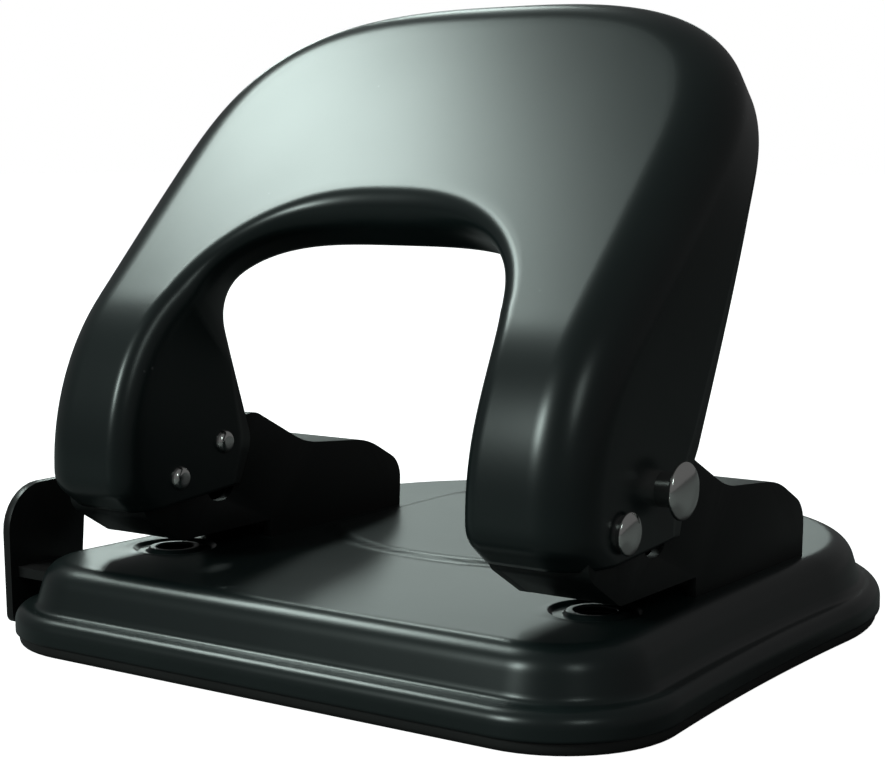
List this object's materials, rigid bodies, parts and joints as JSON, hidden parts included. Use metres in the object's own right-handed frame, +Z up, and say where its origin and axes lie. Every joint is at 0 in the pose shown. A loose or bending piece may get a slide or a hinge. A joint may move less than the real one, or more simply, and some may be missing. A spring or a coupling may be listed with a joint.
{
  "type": "hole punch",
  "caption": "Desk hole punch with a pressed steel arch handle on twin brackets, a pressed base, a sliding paper guide and a pull-off chip tray.",
  "frame": {"origin": "on the table plane, midway between the two hole centres", "axes": "+X along the paper edge to the user's right, +Y to the back, +Z up"},
  "size_m": [0.121, 0.1253, 0.1041],
  "materials": {
    "black_paint": "satin",
    "black_enamel": "satin",
    "black_plastic": "fine matte",
    "guide_plastic": "semi-gloss",
    "nickel": "bright nickel plate",
    "tool_steel": "ground",
    "spring_steel": "drawn wire",
    "zinc_steel": "zinc plate"
  },
  "bodies": {
    "base": {"base_shell": "black_paint", "left_bracket": "black_enamel", "right_bracket": "black_enamel", "bracket_rivets": "zinc_steel", "left_spring_seat": "zinc_steel", "right_spring_seat": "zinc_steel", "left_return_spring": "spring_steel", "right_return_spring": "spring_steel", "guide_clip": "zinc_steel", "guide_spring": "spring_steel", "clip_rivets": "zinc_steel"},
    "handle": {"handle_shell": "black_paint", "left_pivot_pin": "nickel", "right_pivot_pin": "nickel", "left_press_pin": "nickel", "right_press_pin": "nickel"},
    "left_punch_unit": {"left_punch": "tool_steel"},
    "right_punch_unit": {"right_punch": "tool_steel"},
    "tray": {"chad_tray": "black_plastic"},
    "guide": {"paper_guide": "guide_plastic"}
  },
  "joints": [
    {"name": "handle_press", "type": "hinge", "parent": "base", "child": "handle", "pos_m": [0, -0.0087, 0.0265], "axis": [-1, 0, 0], "range_deg": [0, 31], "stiffness_Nm_per_rad": 0.9, "springref_deg": -28.65},
    {"name": "left_punch_stroke", "type": "slide", "parent": "base", "child": "left_punch_unit", "axis": [0, 0, -1], "range_m": [0, 0.0062], "deforming": ["left_return_spring"]},
    {"name": "right_punch_stroke", "type": "slide", "parent": "base", "child": "right_punch_unit", "axis": [0, 0, -1], "range_m": [0, 0.0062], "deforming": ["right_return_spring"]},
    {"name": "guide_slide", "type": "slide", "parent": "base", "child": "guide", "axis": [-1, 0, 0], "range_m": [0, 0.075]},
    {"name": "tray_pull", "type": "slide", "parent": "base", "child": "tray", "axis": [0, 0, -1], "range_m": [0, 0.02]}
  ],
  "couplings": [
    {"joint": "left_punch_stroke", "follows": "handle_press", "m_per_rad": 0.01118},
    {"joint": "right_punch_stroke", "follows": "handle_press", "m_per_rad": 0.01118}
  ]
}
